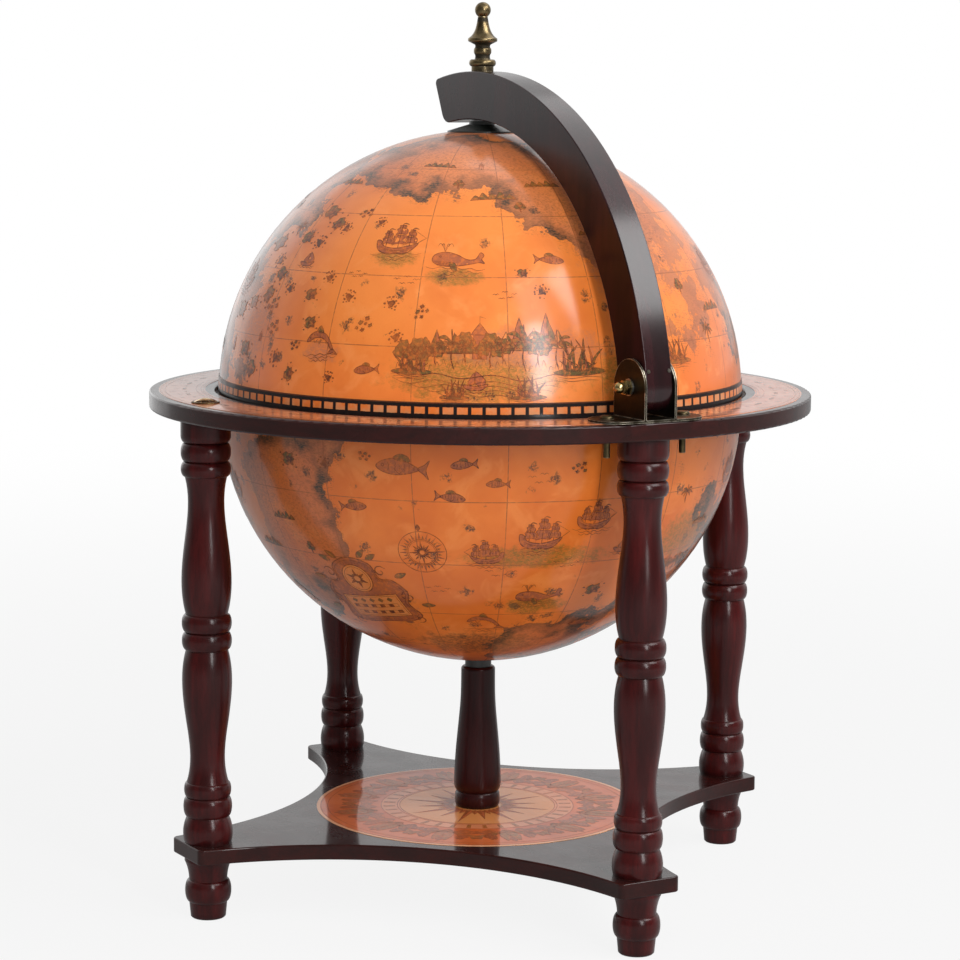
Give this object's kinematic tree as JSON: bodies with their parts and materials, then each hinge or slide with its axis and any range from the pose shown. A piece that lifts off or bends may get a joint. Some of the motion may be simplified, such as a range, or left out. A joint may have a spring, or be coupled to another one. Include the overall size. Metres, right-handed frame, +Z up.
{
  "type": "tabletop globe bar",
  "caption": "Antique-style globe drinks cabinet: hinged half-globe lid over a bowl with bottle tray, in a ring table on turned legs with a shelf.",
  "frame": {"origin": "on the floor under the globe's upright axis", "axes": "+Z up along the globe's axis, +X towards the hinge at the back, +Y to the left"},
  "size_m": [0.4169, 0.417, 0.5598],
  "materials": {
    "lacquered_wood": "satin-gloss dark mahogany lacquer",
    "turned_wood": "satin-gloss dark mahogany lacquer on turned wood",
    "arm_lacquer": "satin charcoal-brown lacquer",
    "tray_wood": "satin mahogany lacquer",
    "hoop_wood": "bare plywood, lightly oiled",
    "globe_paper": "varnished printed paper on a moulded shell",
    "ring_paper": "varnished printed paper",
    "medallion_paper": "varnished printed paper",
    "band_paper": "varnished printed paper band",
    "liner_felt": "thin flocked lining",
    "antique_brass": "antiqued brass, dark in the recesses and worn bright on the edges",
    "bright_brass": "polished brass",
    "zinc_steel": "zinc-plated",
    "needle_steel": "painted, half red and half dark",
    "dial_card": "printed card",
    "compass_lens": "clear domed lens",
    "black_plastic": "satin black moulded plastic",
    "washer_plastic": "plain nylon"
  },
  "bodies": {
    "stand": {"shelf_board": "lacquered_wood", "shelf_medallion": "medallion_paper", "post_back": "turned_wood", "post_left": "turned_wood", "post_front": "turned_wood", "post_right": "turned_wood", "foot_back": "turned_wood", "foot_left": "turned_wood", "foot_front": "turned_wood", "foot_right": "turned_wood", "leg_screws": "zinc_steel", "ring_screws": "zinc_steel", "centre_column": "turned_wood", "neck_bush": "black_plastic", "turntable_washer": "washer_plastic", "column_bolt": "zinc_steel", "column_washers": "zinc_steel", "column_nut": "zinc_steel", "ring_board": "lacquered_wood", "ring_print": "ring_paper", "hinge_bracket": "antique_brass", "bracket_bolts": "antique_brass", "bracket_nuts": "zinc_steel", "hinge_pin": "zinc_steel", "hinge_washers": "zinc_steel", "hinge_acorn_nut": "bright_brass", "compass_case": "bright_brass", "compass_dial": "dial_card", "compass_pivot": "zinc_steel", "compass_glass": "compass_lens"},
    "bowl": {"bowl_shell": "globe_paper", "bowl_rim": "hoop_wood", "bowl_hub": "hoop_wood", "bowl_floor": "liner_felt", "tray_ledge": "hoop_wood", "bar_tray": "tray_wood"},
    "arm": {"meridian_arm": "arm_lacquer", "arm_bush": "washer_plastic", "arm_nails": "zinc_steel", "finial": "antique_brass", "pole_rod": "zinc_steel", "pole_washers": "zinc_steel", "pole_nut": "zinc_steel"},
    "dome": {"dome_shell": "globe_paper", "equator_band": "band_paper", "dome_rim": "hoop_wood", "dome_hub": "washer_plastic", "pole_cap": "black_plastic"},
    "needle": {"compass_needle": "needle_steel"}
  },
  "joints": [
    {"name": "arm_swing", "type": "hinge", "parent": "stand", "child": "arm", "pos_m": [0.19169, 0, 0.3375], "axis": [0, 1, 0], "range_deg": [0, 108]},
    {"name": "dome_spin", "type": "hinge", "parent": "arm", "child": "dome", "pos_m": [0, 0, 0.4], "axis": [0, 0, 1], "continuous": true},
    {"name": "bowl_spin", "type": "hinge", "parent": "stand", "child": "bowl", "pos_m": [0, 0, 0.2], "axis": [0, 0, 1], "continuous": true},
    {"name": "needle_spin", "type": "hinge", "parent": "stand", "child": "needle", "pos_m": [0, -0.1905, 0.3172], "axis": [0, 0, 1], "continuous": true}
  ]
}
